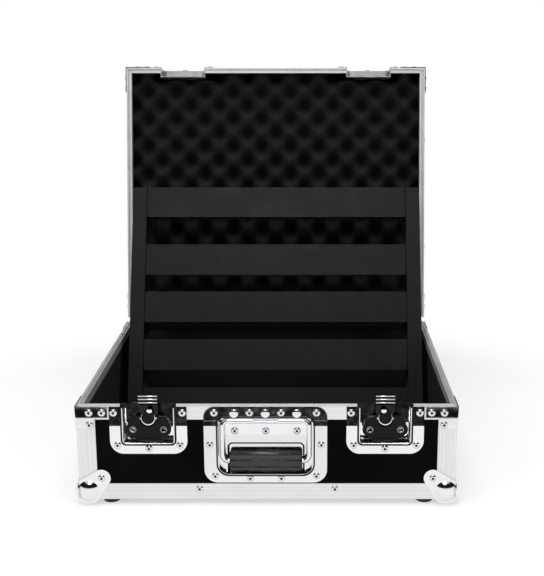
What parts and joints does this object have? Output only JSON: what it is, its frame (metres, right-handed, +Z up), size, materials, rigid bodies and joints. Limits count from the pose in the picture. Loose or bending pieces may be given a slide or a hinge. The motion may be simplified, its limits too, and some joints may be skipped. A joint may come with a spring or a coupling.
{
  "type": "guitar pedal case",
  "caption": "Open flight case for guitar pedals with aluminium edges, twist latches, a spring handle, a foam-lined hinged lid and a slatted pedal board leaning inside.",
  "frame": {"origin": "on the floor under the middle of the tray, midway between its outer faces", "axes": "+Z up, +X to the right as seen from the front, the tray's front with the handle faces -Y, the hinged side faces +Y"},
  "size_m": [0.511, 0.5926, 0.5548],
  "materials": {
    "black_laminate_ply": "gloss",
    "aluminium_extrusion": "satin",
    "chrome_plate": "polished",
    "zinc_plated_steel": "satin",
    "black_painted_metal": "matte",
    "black_rubber": "matte",
    "black_foam": "matte"
  },
  "bodies": {
    "tray": {"tray_floor_panel": "black_laminate_ply", "tray_front_panel": "black_laminate_ply", "tray_back_panel": "black_laminate_ply", "tray_left_panel": "black_laminate_ply", "tray_right_panel": "black_laminate_ply", "tray_rim_profiles": "aluminium_extrusion", "tray_base_angles": "aluminium_extrusion", "tray_corner_angles": "aluminium_extrusion", "tray_ball_corners": "chrome_plate", "tray_rim_brackets": "chrome_plate", "rubber_feet": "black_rubber", "foot_screws": "zinc_plated_steel", "left_latch_dish": "chrome_plate", "right_latch_dish": "chrome_plate", "left_latch_base": "chrome_plate", "right_latch_base": "chrome_plate", "handle_dish": "chrome_plate", "handle_cover": "chrome_plate", "handle_spring": "zinc_plated_steel", "hinge_tray_leaves": "zinc_plated_steel", "hinge_pins": "zinc_plated_steel", "tray_rivets": "zinc_plated_steel", "latch_rivets": "zinc_plated_steel", "handle_rivets": "zinc_plated_steel", "hinge_tray_rivets": "zinc_plated_steel"},
    "left_cam": {"left_latch_cam": "chrome_plate"},
    "left_wing": {"left_latch_wing": "chrome_plate"},
    "left_hook": {"left_latch_hook": "chrome_plate"},
    "right_cam": {"right_latch_cam": "chrome_plate"},
    "right_wing": {"right_latch_wing": "chrome_plate"},
    "right_hook": {"right_latch_hook": "chrome_plate"},
    "handle": {"handle_bail": "chrome_plate", "handle_grip": "black_rubber"},
    "lid": {"lid_top_panel": "black_laminate_ply", "lid_front_panel": "black_laminate_ply", "lid_back_panel": "black_laminate_ply", "lid_left_panel": "black_laminate_ply", "lid_right_panel": "black_laminate_ply", "lid_rim_profiles": "aluminium_extrusion", "lid_top_angles": "aluminium_extrusion", "lid_corner_angles": "aluminium_extrusion", "lid_ball_corners": "chrome_plate", "lid_rim_brackets": "chrome_plate", "left_keeper_dish": "chrome_plate", "right_keeper_dish": "chrome_plate", "lid_foam": "black_foam", "lid_rivets": "zinc_plated_steel", "keeper_rivets": "zinc_plated_steel", "hinge_lid_leaves": "zinc_plated_steel", "hinge_lid_rivets": "zinc_plated_steel"},
    "board": {"left_side_rail": "black_painted_metal", "right_side_rail": "black_painted_metal", "board_slat_1": "black_painted_metal", "board_slat_2": "black_painted_metal", "board_slat_3": "black_painted_metal", "board_slat_4": "black_painted_metal", "board_slat_5": "black_painted_metal", "board_feet": "black_rubber"}
  },
  "joints": [
    {"name": "lid_swing", "type": "hinge", "parent": "tray", "child": "lid", "pos_m": [0, 0.2135, 0.1395], "axis": [1, 0, 0], "range_deg": [0, 100.8]},
    {"name": "board_lift", "type": "slide", "parent": "tray", "child": "board", "axis": [0, -0.866, 0.5], "range_m": [0, 0.80645]},
    {"name": "left_cam_turn", "type": "hinge", "parent": "tray", "child": "left_cam", "pos_m": [-0.1543, -0.2, 0.1225], "axis": [0, 1, 0], "range_deg": [0, 180]},
    {"name": "left_wing_fold", "type": "hinge", "parent": "left_cam", "child": "left_wing", "pos_m": [-0.1543, -0.206, 0.1225], "axis": [-1, 0, 0], "range_deg": [0, 85]},
    {"name": "left_hook_draw", "type": "slide", "parent": "tray", "child": "left_hook", "axis": [0, 0.2696, -0.963], "range_m": [0, 0.01039]},
    {"name": "right_cam_turn", "type": "hinge", "parent": "tray", "child": "right_cam", "pos_m": [0.1543, -0.2, 0.1225], "axis": [0, 1, 0], "range_deg": [0, 180]},
    {"name": "right_wing_fold", "type": "hinge", "parent": "right_cam", "child": "right_wing", "pos_m": [0.1543, -0.206, 0.1225], "axis": [-1, 0, 0], "range_deg": [0, 85]},
    {"name": "right_hook_draw", "type": "slide", "parent": "tray", "child": "right_hook", "axis": [0, 0.2696, -0.963], "range_m": [0, 0.01039]},
    {"name": "handle_swing", "type": "hinge", "parent": "tray", "child": "handle", "pos_m": [-0.0018, -0.201, 0.1185], "axis": [-1, 0, 0], "range_deg": [0, 95], "stiffness_Nm_per_rad": 0.12, "springref_deg": -28.65}
  ],
  "couplings": [
    {"joint": "board_lift", "follows": "lid_swing", "m_per_rad": 0.45837},
    {"joint": "left_hook_draw", "follows": "left_cam_turn", "m_per_rad": 0.0033055},
    {"joint": "right_hook_draw", "follows": "right_cam_turn", "m_per_rad": 0.0033055}
  ]
}
